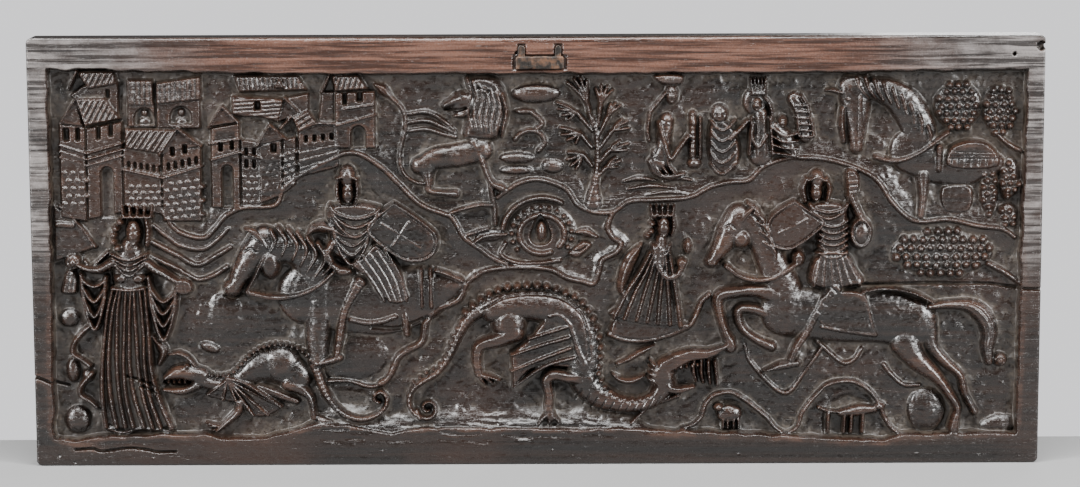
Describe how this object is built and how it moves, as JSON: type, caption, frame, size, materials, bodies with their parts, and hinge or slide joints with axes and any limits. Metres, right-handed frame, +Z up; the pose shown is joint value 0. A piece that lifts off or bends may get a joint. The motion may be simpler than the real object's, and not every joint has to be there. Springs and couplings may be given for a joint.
{
  "type": "carved wall panel",
  "caption": "Thick oak plank with a raised border, carved in relief with Saint George and the dragon, and an iron keeper in its top rail.",
  "frame": {"origin": "centre of the flat back face, which lies against the wall", "axes": "+X to the right as the carved face is seen, +Y into the wall, +Z up"},
  "size_m": [1.3, 0.048, 0.556],
  "materials": {
    "oak": "dark polished old oak, worn reddish brown on the edges, with pale dust in the recesses",
    "iron": "dark forged iron, worn bright on its edges"
  },
  "bodies": {
    "root": {"carved_board": "oak", "lock_keeper": "iron"}
  },
  "joints": []
}
